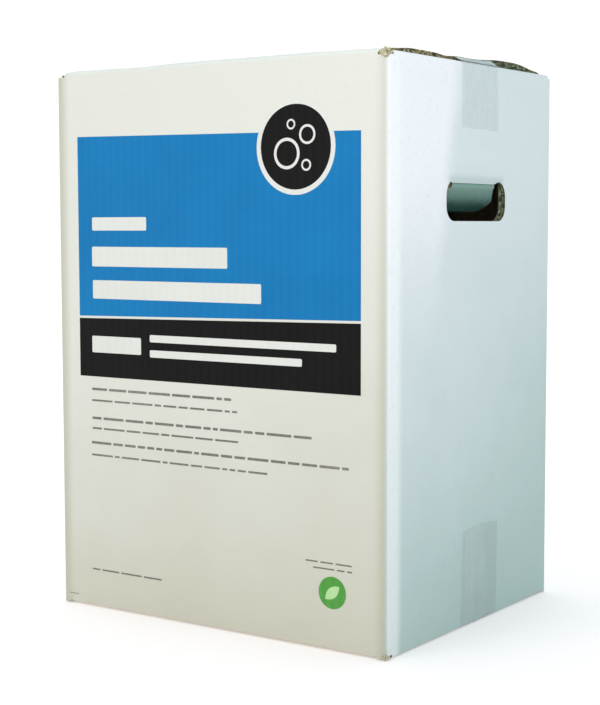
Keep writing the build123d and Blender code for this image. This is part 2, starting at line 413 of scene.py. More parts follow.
# %% Paths with rounded corners
class FoldPath:
    """A line with rounded corners. Distance along it is counted corner to corner."""

    def __init__(self, corners, start):
        """corners are (point, radius); start is the distance given to the first one."""
        self.points = [Vector(point) for point, radius in corners]
        self.radii = [radius for point, radius in corners]
        self.marks = [start]
        for a, b in zip(self.points, self.points[1:]):
            self.marks.append(self.marks[-1] + (b - a).length)

    def at(self, distance):
        """The point at a distance, and the direction to the right of travel there."""
        last = len(self.points) - 2
        run = min(sum(distance > mark for mark in self.marks[1:-1]), last)
        for corner in (run, run + 1):
            radius = self.radii[corner]
            if 0 < corner < len(self.points) - 1 and abs(distance - self.marks[corner]) < radius:
                return self.on_corner(corner, (distance - self.marks[corner]) / radius)
        ahead = (self.points[run + 1] - self.points[run]).normalized()
        return self.points[run] + ahead * (distance - self.marks[run]), Vector((ahead.y, -ahead.x))

    def on_corner(self, corner, share):
        before = (self.points[corner] - self.points[corner - 1]).normalized()
        after = (self.points[corner + 1] - self.points[corner]).normalized()
        angle = math.atan2(before.x * after.y - before.y * after.x, before.dot(after))
        tangent = self.radii[corner]
        bend = tangent / math.tan(abs(angle) / 2)
        side = 1 if angle > 0 else -1
        inner = Vector((-before.y, before.x)) * side
        centre = self.points[corner] - before * tangent + inner * bend
        start = self.points[corner] - before * tangent - centre
        turned = start.copy()
        turned.rotate(Matrix.Rotation(angle * (share + 1) / 2, 2))
        return centre + turned, turned.normalized() * side


LEFT_END = -WIDTH / 2 - (DEPTH - BOARD)
GIRTH = FoldPath(
    [
        ((-WIDTH / 2 + GLUE_TAB, DEPTH / 2 - BOARD), 0),
        ((-WIDTH / 2, DEPTH / 2 - BOARD), SHARP_RADIUS),
        ((-WIDTH / 2, -DEPTH / 2), SHARP_RADIUS),
        ((WIDTH / 2, -DEPTH / 2), CORNER_RADIUS),
        ((WIDTH / 2, DEPTH / 2), SHARP_RADIUS),
        ((-WIDTH / 2, DEPTH / 2), 0),
    ],
    LEFT_END - GLUE_TAB,
)


def wall_section(reach, major):
    """The path up a wall from the end of its bottom flap to the end of its top flap.

    The front and back have the major flaps, which meet on top. The minor flaps of the sides
    bulge at their crease, then ramp down to lie under the major ones.
    """
    if major:
        bottom, top = [((SEAM, 0), 0)], [((SEAM, HEIGHT), 0)]
        bottom.append(((reach, 0), MAJOR_RADIUS))
        top.insert(0, ((reach, HEIGHT), MAJOR_RADIUS))
        start = SEAM - reach
    else:
        end = reach - DEPTH / 2
        ramp, roll = reach - 8.4 * MM, reach - 3.2 * MM
        turns = [(end, 0, 0), (ramp, 0, 1.5 * MM)]
        turns += [(roll, MINOR_LEVEL, 1 * MM), (reach, MINOR_LEVEL, ROLL_RADIUS)]
        bottom = [((x, MINOR_LEVEL - rise), radius) for x, rise, radius in turns]
        top = [((x, HEIGHT - MINOR_LEVEL + rise), radius) for x, rise, radius in reversed(turns)]
        start = -sum((Vector(a[0]) - Vector(b[0])).length for a, b in zip(bottom, bottom[1:]))
    return FoldPath(bottom + top, start)


MAJOR, MINOR = wall_section(DEPTH / 2, True), wall_section(WIDTH / 2, False)
PANELS = {  # middle along the girth, direction along it, outward direction and section
    "front": (0.0, Vector((1, 0)), Vector((0, -1)), MAJOR),
    "right": ((WIDTH + DEPTH) / 2, Vector((0, 1)), Vector((1, 0)), MINOR),
    "back": (WIDTH + DEPTH, Vector((-1, 0)), Vector((0, 1)), MAJOR),
    "left": (-(WIDTH + DEPTH) / 2, Vector((0, -1)), Vector((-1, 0)), MINOR),
}
print("side section starts at %.4f" % MINOR.marks[0])

# %% [markdown]
# ## How a full carton sits
# A carton that holds over twenty kilos isn't flat. Each panel stands out a little inside
# a soft line about 20 mm from its edges, the board is crushed thin where it turns, and the
# top flaps spring up between their creases and the tape. Knocks have settled its top edge.
# These are functions of the place on the blank, so everything that lies on the board, such
# as ink and tape, can follow them.

# %% The carton's soft shapes
def smooth(value, start, end):
    """0 at start and 1 at end, with a smooth ramp between."""
    share = min(1.0, max(0.0, (value - start) / (end - start)))
    return share * share * (3 - 2 * share)


def bell(value, middle, width):
    """1 at the middle, falling away on both sides."""
    return math.exp(-(((value - middle) / width) ** 2))


EDGE_LINE = (14 * MM, 24 * MM)  # where a panel steps out from its edges
STEP_OUT = 0.65 * MM
SKIN = 0.35 * MM  # how far the surface keeps inside the frame's box


def panel_of(along):
    """The panel at a place along the girth, how far from its middle, and half its width."""
    for name, (centre, direction, outward, section) in PANELS.items():
        half = WIDTH / 2 if section is MAJOR else DEPTH / 2
        if abs(along - centre) <= half:
            return name, along - centre, half
    return "left", along - PANELS["left"][0], DEPTH / 2


def stand_out(along, height):
    """How far the outer surface lies from the flat wall, outwards."""
    name, across, half = panel_of(along)
    inside = min((half - abs(across)) * 1.6, height, HEIGHT - height)
    wave = noise.noise(Vector((along * 7, height * 5, 3.1)))
    rise = STEP_OUT * (smooth(inside, *EDGE_LINE) - 1) - SKIN
    rise += wave * 0.25 * MM * smooth(inside, 0, 60 * MM)
    if name in ("left", "right"):
        beside = max(abs(across) - HOLE_WIDTH / 2, abs(height - HOLE_MIDDLE) - HOLE_HEIGHT / 2)
        rise -= 0.8 * MM * bell(height, HOLE_MIDDLE + 26 * MM, 6 * MM) * bell(across, 0, 34 * MM)
        rise = rise * smooth(beside, 3 * MM, 12 * MM) - 0.05 * MM
    return rise


def thinned(name, beyond, edge_gap):
    """The share of the board's thickness left at a distance past a crease, away from the slots."""
    if name in ("front", "back"):
        loss = 0.56 * (1 - smooth(abs(beyond), 4 * MM, 11 * MM))
    else:
        loss = 0.7 * (1 - smooth(-beyond, 3 * MM, 10 * MM) - smooth(beyond, 13 * MM, 20 * MM))
    return 1 - loss * smooth(edge_gap, 3 * MM, 7 * MM)


HIGHEST_SPRING = 6.45  # mm over the creases, which keeps the flaps inside the frame's box


def flap_spring(name, share, across):
    """How far a top major flap stands up: share goes from its crease to the seam.

    The tape's ends hold both ends of the flap lower than its middle.
    """
    held = smooth(abs(across), WIDTH / 2 - 110 * MM, WIDTH / 2 - 12 * MM)
    if name == "front":
        lift = 1.6 * smooth(share, -0.04, 0.12) + 3.4 * smooth(share, 0.06, 0.38)
        lift -= 1.9 * bell(share, 0.74, 0.10) + 1.2 * smooth(share, 0.6, 1)
        drop = 3.1 * smooth(share, 0.12, 0.36) - 1.5 * smooth(share, 0.52, 0.8)
        drop -= 0.9 * bell(share, 0.1, 0.07)
    else:
        lift = 4.6 * smooth(share, -0.06, 0.10) + 1.9 * smooth(share, 0.12, 0.42)
        lift -= 2.7 * smooth(share, 0.55, 0.95)
        drop = 1.5 + 0.8 * (1 - smooth(share, 0.05, 0.30))
    ripple = 0.35 * noise.noise(Vector((across * 16, share * 2.2, 7.7)))
    lift += ripple * smooth(share, 0, 0.3) - held * drop
    return min(lift, HIGHEST_SPRING) * MM * smooth(share, -0.02, 0.04)


def settled(along, height):
    """How far the knocked top edge has sunk: most at the front right corner, least behind."""
    behind_front = min(max(0.0, abs(along) - WIDTH / 2), DEPTH)
    sink = 2.6 * MM - 1.4 * MM * behind_front / DEPTH
    past_corner = along - WIDTH / 2
    crush = smooth(past_corner, -50 * MM, -4 * MM) * (1 - smooth(past_corner, 0, 18 * MM))
    fade = 1 - smooth(height - HEIGHT, 8 * MM, 50 * MM)
    if behind_front > 0:
        fade = max(fade, 1 - smooth(behind_front, 8 * MM, 50 * MM))
    return (sink + 1.1 * MM * crush) * smooth(height, HEIGHT - 50 * MM, HEIGHT) * fade


UPRIGHTS = (LEFT_END, -WIDTH / 2, WIDTH / 2, WIDTH / 2 + DEPTH)  # the upright folds, along the girth


def fold(part, along, height, depth):
    """The place in space of a point of the flat blank; depth is 0 on its outer face.

    part is "ring" for the four walls, or the name of the panel that a flap hangs on.
    """
    name, across, half = panel_of(along)
    if part != "ring":
        name, across = part, along - PANELS[part][0]
        half = (WIDTH if PANELS[part][3] is MAJOR else DEPTH) / 2
    beyond = height - HEIGHT if height > HEIGHT / 2 else -height
    depth *= thinned(name, beyond, half - abs(across))
    if part == "ring":
        to_fold = min(abs(along - corner) for corner in UPRIGHTS)
        depth *= 1 - 0.5 * (1 - smooth(to_fold, 3.6 * MM, 9 * MM))
        point, outward = GIRTH.at(along)
        point = point + outward * (depth + stand_out(along, height))
        return Vector((point.x, point.y, height - settled(along, height)))
    centre, direction, outward, section = PANELS[name]
    root = stand_out(along, max(SLOT_DEPTH, min(HEIGHT - SLOT_DEPTH, height)))
    rise = root + (-SKIN - root) * smooth(beyond, 0, 12 * MM)
    spot, normal = section.at(height)
    spot = spot + normal * (depth + rise)
    if section is MAJOR and height > HEIGHT / 2:
        spot.y += flap_spring(name, (DEPTH / 2 - spot.x) / (DEPTH / 2), across)
    spot.y -= settled(along, height)
    flat = direction * across + outward * spot.x
    return Vector((flat.x, flat.y, spot.y))


print("middle of front", [round(c, 4) for c in fold("ring", 0, HEIGHT / 2, 0)])

# %% [markdown]
# ## Ruling the blank
# A ruled grid is the easiest sheet to fold: its columns and rows are simply slid to where
# the creases, slots and hand holes need them. The walls are one such grid and each flap is
# another, joined where their edges meet. A boolean cut would also make the hand holes, but
# it leaves slivers along the fold lines, so the cells inside the holes are dropped instead.

# %% Grids with chosen lines
def ruled(stops, pitch):
    """Positions from the first stop to the last, through them all, no wider apart than pitch."""
    kept = []
    for stop in sorted(stops):
        if not kept or stop - kept[-1] > 0.4 * MM:
            kept.append(stop)
    lines = [kept[0]]
    for a, b in zip(kept, kept[1:]):
        count = max(1, math.ceil((b - a) / pitch - 1e-6))
        lines += [a + (b - a) * i / count for i in range(1, count + 1)]
    return lines


def sheet(bm, columns, rows, tag=0):
    """Adds a grid with its columns and rows slid to the given lines, and tags its points."""
    count_x, count_y = len(columns) - 1, len(rows) - 1
    layer = bm.verts.layers.int.get("part") or bm.verts.layers.int.new("part")
    made = bmesh.ops.create_grid(bm, x_segments=count_x, y_segments=count_y, size=1)
    for vert in made["verts"]:
        column = round((vert.co.x + 1) / 2 * count_x)
        row = round((vert.co.y + 1) / 2 * count_y)
        vert.co = (columns[column], rows[row], 0)
        vert[layer] = tag
    return made["verts"]


def rounded(spot, half, radius, reach):
    """Draws a point near a corner of a rectangle round the middle onto the round corner."""
    centre = Vector([math.copysign(h - radius, c) for h, c in zip(half, spot)])
    offset = Vector(spot) - centre
    if offset.x * spot[0] <= 0 or offset.y * spot[1] <= 0:
        return Vector(spot)
    square = max(abs(offset.x), abs(offset.y))
    fade = 1 - smooth(square, radius, radius + reach)
    return centre + offset * (1 + (square / offset.length - 1) * fade)


def corner_of_hole(spot, inset=0.0):
    """The same for the hand hole, drawn in all round by inset."""
    half = (HOLE_WIDTH / 2 - inset, HOLE_HEIGHT / 2 - inset)
    return rounded(spot, half, HOLE_RADIUS - inset, 6 * MM)


# %% [markdown]
# ## Giving the sheet its thickness
# Double-wall board is three liners with two layers of flutes between them. Where it is cut,
# the stiff liners stay proud and the soft flutes are crushed back. So the cut edge is made
# by extruding the sheet's border in steps, one for each layer, and drawing the flute layers
# in. A Solidify modifier would be one line, but its edge would be a plain flat band.

# %% Layers of the board
LAYERS = [  # depth and how far the edge is crushed back there, in mm
    (0.5, 0.0), (0.6, 1.1), (1.7, 1.5), (2.7, 1.1), (2.8, 0.2), (3.2, 0.2),
    (3.3, 1.2), (4.7, 1.7), (6.0, 1.2), (6.1, 0.0), (6.6, 0.0),
]
CUT, INNER = 1, 2  # their materials, after the outer liner's


def thicken(bm):
    """Turns a flat sheet into closed board. A vertex keeps its depth in its z."""
    crush = bm.verts.layers.float.new("crush")
    rim = [edge for edge in bm.edges if edge.is_boundary]
    inner = bmesh.ops.duplicate(bm, geom=bm.faces[:])["geom"]
    inner_faces = [item for item in inner if isinstance(item, bmesh.types.BMFace)]
    bmesh.ops.reverse_faces(bm, faces=inner_faces)
    for face in inner_faces:
        face.material_index = INNER
    inner_verts = [item for item in inner if isinstance(item, bmesh.types.BMVert)]
    bmesh.ops.translate(bm, vec=(0, 0, -BOARD), verts=inner_verts)
    for depth, back_by in LAYERS:
        made = bmesh.ops.extrude_edge_only(bm, edges=rim)["geom"]
        rim = [item for item in made if isinstance(item, bmesh.types.BMEdge)]
        for item in made:
            if isinstance(item, bmesh.types.BMVert):
                item.co.z = -depth * MM
                item[crush] = back_by * MM
            elif isinstance(item, bmesh.types.BMFace):
                item.material_index = CUT
        rim = [edge for edge in rim if all(abs(v.co.z + depth * MM) < 1e-7 for v in edge.verts)]
    bmesh.ops.remove_doubles(bm, verts=bm.verts[:], dist=1e-6)
    bmesh.ops.recalc_face_normals(bm, faces=bm.faces[:])
    bm.normal_update()
    shift = {}
    for vert in bm.verts:
        if vert[crush] > 0:
            rough = 1 + 0.45 * noise.noise(vert.co * 420) + 0.3 * noise.noise(vert.co * 1300)
            shift[vert] = -vert.normal * vert[crush] * rough
    for vert, move in shift.items():
        vert.co += move


# %% [markdown]
# ## Cutting and folding the carton
# The lines of the blank come from the creases, the slots, the flap ends and the hand
# holes. The grid is finer where the board bends or steps and coarser on the open panels.

# %% The lines of the blank
PARTS = ["ring", "front", "right", "back", "left"]
BACK_END = WIDTH / 2 + DEPTH + WIDTH - GLUE_STEP
# Half the length of each flap's crease.
FLAP_HALF = {"front": WIDTH / 2 - SETBACK, "right": DEPTH / 2 - MINOR_SIDE_GAP}
FLAP_HALF["back"], FLAP_HALF["left"] = FLAP_HALF["front"], FLAP_HALF["right"]
ARC = [CORNER_RADIUS * step / 4 for step in range(-4, 5)]  # columns round an upright fold
hole_lines = [HOLE_WIDTH / 2 - HOLE_RADIUS * (1 - math.cos(math.pi / 12 * i)) for i in range(7)]
hole_lines += [HINGE_FRONT, HINGE_BACK, HOLE_WIDTH / 2 + 3 * MM, HOLE_WIDTH / 2 + 6 * MM]
hole_rows = [HOLE_HEIGHT / 2 - HOLE_RADIUS * (1 - math.cos(math.pi / 12 * i)) for i in range(7)]
hole_rows += [HOLE_HEIGHT / 2 + rise * MM for rise in (3, 6, 10, 14, 18, 23)]
CHANGES = (9, 12, 15, 20)  # mm from a panel's edges, where the board changes its shape
column_stops = [LEFT_END - GLUE_TAB, BACK_END]
column_stops += [corner + step for corner in UPRIGHTS for step in ARC]
for name, (centre, direction, outward, section) in PANELS.items():
    half = WIDTH / 2 if section is MAJOR else DEPTH / 2
    for gap in CHANGES:
        column_stops += [centre + half - gap * MM, centre - half + gap * MM]
    column_stops += [centre + FLAP_HALF[name], centre - FLAP_HALF[name]]
    if section is MINOR:
        column_stops += [centre + sign * line for line in hole_lines for sign in (-1, 1)]
column_stops = [stop for stop in column_stops if LEFT_END - GLUE_TAB <= stop <= BACK_END]
columns = ruled(column_stops, 7.5 * MM)
row_stops = [SLOT_DEPTH, 7 * MM, 11 * MM, 14 * MM, 17 * MM, 20 * MM, 24 * MM]
row_stops += [HEIGHT - stop for stop in row_stops]
row_stops += [HOLE_MIDDLE + sign * row for row in hole_rows for sign in (-1, 1)]
wall_rows = ruled(row_stops, 7.5 * MM)
print(len(columns), "columns", len(wall_rows), "rows")

# %% The walls and the eight flaps, still flat
SLACK = 0.1 * MM  # so that a line at the very end of a flap is kept
bm = bmesh.new()
part_tag = bm.verts.layers.int.new("part")
sheet(bm, columns, wall_rows, PARTS.index("ring"))
for name, (centre, direction, outward, section) in PANELS.items():
    first = centre - FLAP_HALF[name] - SLACK
    if name == "left":
        first = LEFT_END + SETBACK - 1 * MM
    inside = [c for c in columns if first < c < centre + FLAP_HALF[name] + SLACK]
    length = section.marks[-1] - HEIGHT
    if section is MAJOR:
        steps = ruled([-SLOT_DEPTH, -2.4 * MM, -1.2 * MM, 0, 1.2 * MM, 2.4 * MM, 3.6 * MM], 2 * MM)
        steps += ruled([3.6 * MM, 6 * MM, 10 * MM, length], 5 * MM)[1:]
    else:
        steps = ruled([-SLOT_DEPTH, -2.2 * MM, 15 * MM], 1.1 * MM)
        steps += ruled([15 * MM, length], 7 * MM)[1:]
    sheet(bm, inside, [HEIGHT + step for step in steps], PARTS.index(name))
    sheet(bm, inside, [-step for step in reversed(steps)], PARTS.index(name))
bmesh.ops.remove_doubles(bm, verts=bm.verts[:], dist=1e-5)
print("flat blank", len(bm.faces), "cells")


# %% Cut the hand holes and fold the carton
def in_hole(point):
    """Whether a point of the flat blank lies in a hand hole."""
    across = min((point.x - PANELS[n][0] for n in ("right", "left")), key=abs)
    return abs(across) < HOLE_WIDTH / 2 and abs(point.y - HOLE_MIDDLE) < HOLE_HEIGHT / 2


POST_RISE = SLOT_DEPTH - 0.9 * MM  # the corners between the slots stand almost to the creases


def post_share(along):
    """1 between two slots and 0 at the flaps' edges."""
    name, across, half = panel_of(along)
    gap = FLAP_HALF[name] - abs(across)
    return smooth(-gap, 0, 0.8 * MM)


gone = [face for face in bm.faces if in_hole(face.calc_center_median())]
bmesh.ops.delete(bm, geom=gone, context="FACES")
thicken(bm)
blank = bm.verts.layers.float_vector.new("blank")
for vert in bm.verts:
    along, height, depth = vert.co
    side = min(("right", "left"), key=lambda n: abs(along - PANELS[n][0]))
    across, high = along - PANELS[side][0], height - HOLE_MIDDLE
    near_hole = abs(across) < HOLE_WIDTH / 2 + 6 * MM and abs(high) < HOLE_HEIGHT / 2 + 6 * MM
    torn_corner = high > 0 and depth < -BOARD / 2 + 0.5 * MM
    if near_hole and not torn_corner:
        across, high = corner_of_hole((across, high))
        along, height = across + PANELS[side][0], high + HOLE_MIDDLE
    toward_back = across if side == "right" else -across
    on_hinge = -HINGE_FRONT - 1e-5 < toward_back < HINGE_BACK + 1e-5
    on_hinge = on_hinge and 4 * MM < high < HOLE_HEIGHT / 2 + 2.2 * MM
    if on_hinge and depth > -KNUCKLE:
        height = HINGE_HEIGHT + math.sqrt(SOCKET ** 2 - (depth + KNUCKLE) ** 2)
    elif on_hinge:
        height = HINGE_HEIGHT + SOCKET + 0.1 * MM
    vert[blank] = (along, height, depth)
    part = PARTS[vert[part_tag]]
    if part == "ring" and not SLOT_DEPTH < height < HEIGHT - SLOT_DEPTH:
        height += math.copysign(POST_RISE, height - HEIGHT / 2) * post_share(along)
    vert.co = fold(part, along, height, depth)
carton = new_object("carton_board", bm, white_liner, raw_edge, kraft_liner)
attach(carton, "box")
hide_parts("carton")

# %% [markdown]
# ## Torn corners
# At the front right corner the liner has burst, at the top and a little at the bottom, and
# shows a tuft of tan fibre. It could be sculpted by hand, but a tuft has no clear form. So
# it is a subdivided ball, flattened against the corner and broken up by noise of two sizes.

# %% Tufts of torn board
def tuft_finish(knob):
    """Tan fibre with a few grey specks."""
    point, x, y, z = place_of(knob)
    grain = point.noise(430, 4, 0.7)
    speck = point.noise(900, 2, 0.6).step(0.56, 0.64)
    colour = grain.step(0.35, 0.65).mix((0.36, 0.31, 0.17), (0.66, 0.60, 0.42))
    colour = speck.mix(colour, (0.24, 0.25, 0.22))
    return {"Base Color": colour, "Roughness": 0.95, "Normal": grain.bump(0.9, 0.0006)}


torn_fibre = material("torn_fibre", tuft_finish)


def tuft(name, middle, size):
    """A rough ball squeezed into the front right corner, inside the walls' flat faces."""
    bm = bmesh.new()
    bmesh.ops.create_icosphere(bm, subdivisions=4, radius=1)
    for vert in bm.verts:
        rough = 1 + 0.5 * noise.noise(vert.co * 2.1 + Vector(size)) + 0.25 * noise.noise(vert.co * 6)
        vert.co = Vector(c * s for c, s in zip(vert.co * rough, size))
    turn = Matrix.Rotation(math.radians(35), 3, "Z")
    bmesh.ops.rotate(bm, matrix=turn, verts=bm.verts[:])
    bmesh.ops.translate(bm, vec=middle, verts=bm.verts[:])
    for vert in bm.verts:
        vert.co.x = min(vert.co.x, WIDTH / 2 - SKIN)
        vert.co.y = max(vert.co.y, SKIN - DEPTH / 2)
    made = new_object(name, bm, torn_fibre)
    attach(made, "box")


top_spot = Vector((WIDTH / 2 - 4.6 * MM, -DEPTH / 2 + 4.4 * MM, HEIGHT - 5.6 * MM))
tuft("torn_top_corner", top_spot, (4.4 * MM, 5.6 * MM, 3.4 * MM))
low_spot = Vector((WIDTH / 2 - 4.0 * MM, -DEPTH / 2 + 4.0 * MM, 2.6 * MM))
tuft("torn_low_corner", low_spot, (3.0 * MM, 4.4 * MM, 1.7 * MM))

# %% [markdown]
# ## Hand-hole tabs
# Each hand hole is cut on three sides only, so a tab of board hangs from a crease at its
# top and has been pushed in. It is made like the carton: a small sheet, thickened, then
# bent. Its upper edge rolls round the hinge line, so its liner seems to run on from the wall
# over the bend at every angle of the tab. Its liner is painted a dark greenish grey, darker
# towards its free edge, as painted shade for the hollow it hangs in.

# %% Tabs
TAB_TURN = math.radians(50)
HINGE_X = hinge["right_tab"].x
LINER_WRAP = math.radians(128)


def bent_tab(across, rise, depth):
    """A point of the right tab: rise is above the hinge line, along the liner."""
    if rise <= 0:
        flat = corner_of_hole((across, rise + HINGE_HEIGHT - HOLE_MIDDLE), TAB_CLEARANCE)
        return Vector((HINGE_X + KNUCKLE + depth, flat.x, HOLE_MIDDLE + flat.y))
    share = rise / (KNUCKLE * LINER_WRAP)
    turns = LINER_WRAP * share, math.pi + (LINER_WRAP - math.pi) * share
    outer, inner = (Vector((math.cos(t), 0, math.sin(t))) * KNUCKLE for t in turns)
    return Vector((HINGE_X, across, HINGE_HEIGHT)) + outer.lerp(inner, -depth / BOARD)


def hand_tab(name, side, body, node):
    """A tab drawn flat in its hole, bent at its top, turned in, and mirrored for the left."""
    bm = bmesh.new()
    bottom = HOLE_MIDDLE - HOLE_HEIGHT / 2 + TAB_CLEARANCE - HINGE_HEIGHT
    lines = [line - TAB_CLEARANCE for line in hole_lines[:7]]
    y_stops = [sign * line for line in lines + [0] for sign in (-1, 1)]
    ys = ruled(y_stops + [-HINGE_FRONT, HINGE_BACK], 3.5 * MM)
    rows = [bottom + HOLE_RADIUS * (1 - math.cos(math.pi / 12 * i)) for i in range(7)]
    zs = ruled(rows + [0], 3 * MM) + ruled([0, KNUCKLE * LINER_WRAP], 0.8 * MM)[1:]
    sheet(bm, ys, zs)
    centres = {face: face.calc_center_median() for face in bm.faces}
    shoulders = [f for f, c in centres.items() if c.y > 0 and not -HINGE_FRONT < c.x < HINGE_BACK]
    bmesh.ops.delete(bm, geom=shoulders, context="FACES")
    thicken(bm)
    blank = bm.verts.layers.float_vector.new("blank")
    for vert in bm.verts:
        across, rise, depth = vert.co
        vert[blank] = (PANELS[side][0] + across, HINGE_HEIGHT + rise, depth)
        if rise <= 0:
            slant = 0.8 * max(0.0, across - HINGE_BACK)
            rise = bottom + (rise - bottom) * (1 + slant / bottom)
        seed = 5.0 if side == "right" else 9.0
        warp = 0.25 * MM * noise.noise(Vector((across * 30, rise * 40, seed)))
        vert.co = bent_tab(across, rise, depth)
        vert.co.x += warp * smooth(-rise, 0, 12 * MM)
    bmesh.ops.remove_doubles(bm, verts=bm.verts[:], dist=1e-6)
    pivot = Vector((HINGE_X, 0, HINGE_HEIGHT))
    bmesh.ops.rotate(bm, cent=pivot, matrix=Matrix.Rotation(TAB_TURN, 3, "Y"), verts=bm.verts[:])
    if side == "left":
        bmesh.ops.scale(bm, vec=(-1, 1, 1), verts=bm.verts[:])
        bmesh.ops.reverse_faces(bm, faces=bm.faces[:])
    made = new_object(name, bm, tab_liner, raw_edge, kraft_liner)
    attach(made, body)
    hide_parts(node)


def tab_liner_finish(knob):
    """The liner on a tab, painted a dark greenish grey as shade, darker and mottled towards its free
    edge.
    """
    point, x, y, z = place_of(knob)
    flat, along, height, depth = blank_place(knob)
    low_part = height.step(HINGE_HEIGHT - 4 * MM, HINGE_HEIGHT - 26 * MM)
    # Painted shade, deepening towards the free edge and mottled by noise.
    tab_shade = low_part * 0.7 + flat.noise(150, 5, 0.75) * 0.9 - 0.35
    colour = tab_shade.step(0.1, 0.8).mix((0.15, 0.275, 0.24), (0.03, 0.115, 0.092))
    fibre = flat.noise(1400, 2, 0.6, (1, 0.35, 1))
    return {"Base Color": colour, "Roughness": 0.6, "Normal": fibre.bump(0.5, 0.00012)}


tab_liner = material("tab_liner", tab_liner_finish)
hand_tab("right_tab_board", "right", "right_tab", "right_hand_tab")
hand_tab("left_tab_board", "left", "left_tab", "left_hand_tab")

# %% [markdown]
# ## Print on the front
# The real print is ink on the liner. It could be a mask inside the liner's material, but a
# mask blurs when the whole carton is baked to one image. So each colour is its own very
# thin patch, a grid that follows the panel's soft bulge, and its edges stay crisp.

# %% Patches of ink
def on_front(x, z, lift):
    """A place on the front panel, x from its left edge and z from the floor."""
    return fold("ring", x - WIDTH / 2, z, lift)


def patch(bm, place, width, height, radius, lift, shape=None, step=5 * MM):
    """Adds a thin patch of ink round a place on the front; shape may bend its flat outline."""
    fine = min(step, max(radius / 4, 0.6 * MM)) if radius else step
    half = (width / 2, height / 2)
    lines = [ruled([-h, -h + radius, h - radius, h] if radius else [-h, h], fine) for h in half]
    top = sheet(bm, *lines)
    faces = list({face for vert in top for face in vert.link_faces})
    under = bmesh.ops.extrude_face_region(bm, geom=faces, use_keep_orig=True)["geom"]
    lower = [item for item in under if isinstance(item, bmesh.types.BMVert)]
    for verts, level in ((top, lift), (lower, -0.15 * MM)):
        for vert in verts:
            flat = rounded(vert.co.xy, half, radius, step) if radius else vert.co.xy.copy()
            if shape:
                flat = shape(flat)
            vert.co = on_front(place[0] + flat.x, place[1] + flat.y, level)


def ink_piece(name, bm, finish):
    """Closes a bmesh of patches and hangs it on the carton."""
    bmesh.ops.recalc_face_normals(bm, faces=bm.faces[:])
    made = new_object(name, bm, finish)
    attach(made, "box")


def ink(name, colour, worn, gloss=0.45):
    """A flat ink: mottled where the liner shows through, with ribs from the flutes."""

    def finish(knob):
        point, x, y, z = place_of(knob)
        mottle = point.noise(14, 5, 0.65).step(0.3, 0.75)
        speck = point.noise(900, 2, 0.6).step(0.66, 0.74)
        phase = x * (2 * math.pi / FLUTE_PITCH)
        rib = phase.maths("SINE", phase)
        tone = (mottle * 0.6 + rib * 0.12 + 0.1).mix(colour, worn)
        tone = (speck * 0.5).mix(tone, worn)
        relief = rib * 0.35 + point.noise(700, 2, 0.6) * 0.3
        return {
            "Base Color": tone,
            "Roughness": gloss + mottle * 0.15,
            "Specular IOR Level": 0.1,
            "Normal": relief.bump(0.4, 0.0001),
        }

    return material(name, finish)


INK, OVERPRINT = 0.08 * MM, 0.13 * MM  # how far the fields and the bars stand out
blue_ink = ink("blue_ink", (0.005, 0.165, 0.41), (0.010, 0.205, 0.485))
black_ink = ink("black_ink", (0.004, 0.0035, 0.0035), (0.011, 0.010, 0.010), 0.5)
white_ink = ink("bare_liner", (0.74, 0.735, 0.69), (0.69, 0.685, 0.63), 0.5)
grey_ink = ink("grey_ink", (0.17, 0.16, 0.135), (0.28, 0.265, 0.23), 0.5)
green_ink = ink("green_ink", (0.07, 0.30, 0.045), (0.13, 0.38, 0.085))
pale_green_ink = ink("pale_green_ink", (0.50, 0.72, 0.36), (0.42, 0.66, 0.30))

# %% The blue field and the black band
FIELD_LEFT, FIELD_RIGHT = 24 * MM, 307.5 * MM
FIELD_MIDDLE = (FIELD_LEFT + FIELD_RIGHT) / 2
FIELD_WIDTH = FIELD_RIGHT - FIELD_LEFT
BLUE_LOW, BLUE_HIGH = 252.5 * MM, 398 * MM
BAND_LOW, BAND_HIGH = 199 * MM, 250.5 * MM
TAPER = 2.4 * MM  # how far the blue field's edges lean in, from its middle to its right end


def tapered(flat):
    """The field was printed a little deeper on its left than on its right."""
    middle = (BLUE_HIGH - BLUE_LOW) / 2
    return Vector((flat.x, flat.y * (1 - TAPER / middle * flat.x / (FIELD_WIDTH / 2))))


bm = bmesh.new()
blue_middle = (FIELD_MIDDLE, (BLUE_LOW + BLUE_HIGH) / 2)
patch(bm, blue_middle, FIELD_WIDTH, BLUE_HIGH - BLUE_LOW, 0, INK, tapered)
ink_piece("blue_field", bm, blue_ink)


def band_top(flat):
    """The band's top edge follows the field above it."""
    lean = TAPER * flat.x / (FIELD_WIDTH / 2) * smooth(flat.y, -20 * MM, 25.7 * MM)
    return Vector((flat.x, flat.y + lean))


bm = bmesh.new()
band_middle = (FIELD_MIDDLE, (BAND_LOW + BAND_HIGH) / 2)
patch(bm, band_middle, FIELD_WIDTH, BAND_HIGH - BAND_LOW, 0, INK, band_top)
ink_piece("black_band", bm, black_ink)

# %% [markdown]
# ## Bars and the round emblem
# Where the real panel has words, this one has plain bars as long as the words, and where it
# has a badge there is a plain disc with bubbles. They keep the balance of the print and say
# nothing.

# %% Title bars
BARS = [  # left, right, low and high edge, in mm from the panel's corner
    (39.5, 99, 322, 333), (39, 182.5, 292, 308.5), (39.5, 215.5, 265, 280.5),
    (38, 92, 219.5, 233.5), (101.5, 285.5, 230.5, 236.5), (101.5, 254, 218, 224),
]
bm = bmesh.new()
for left, right_end, low_edge, high_edge in BARS:
    place = ((left + right_end) / 2 * MM, (low_edge + high_edge) / 2 * MM)
    size = ((right_end - left) * MM, (high_edge - low_edge) * MM)
    patch(bm, place, *size, 1.2 * MM, OVERPRINT)
ink_piece("title_bars", bm, white_ink)

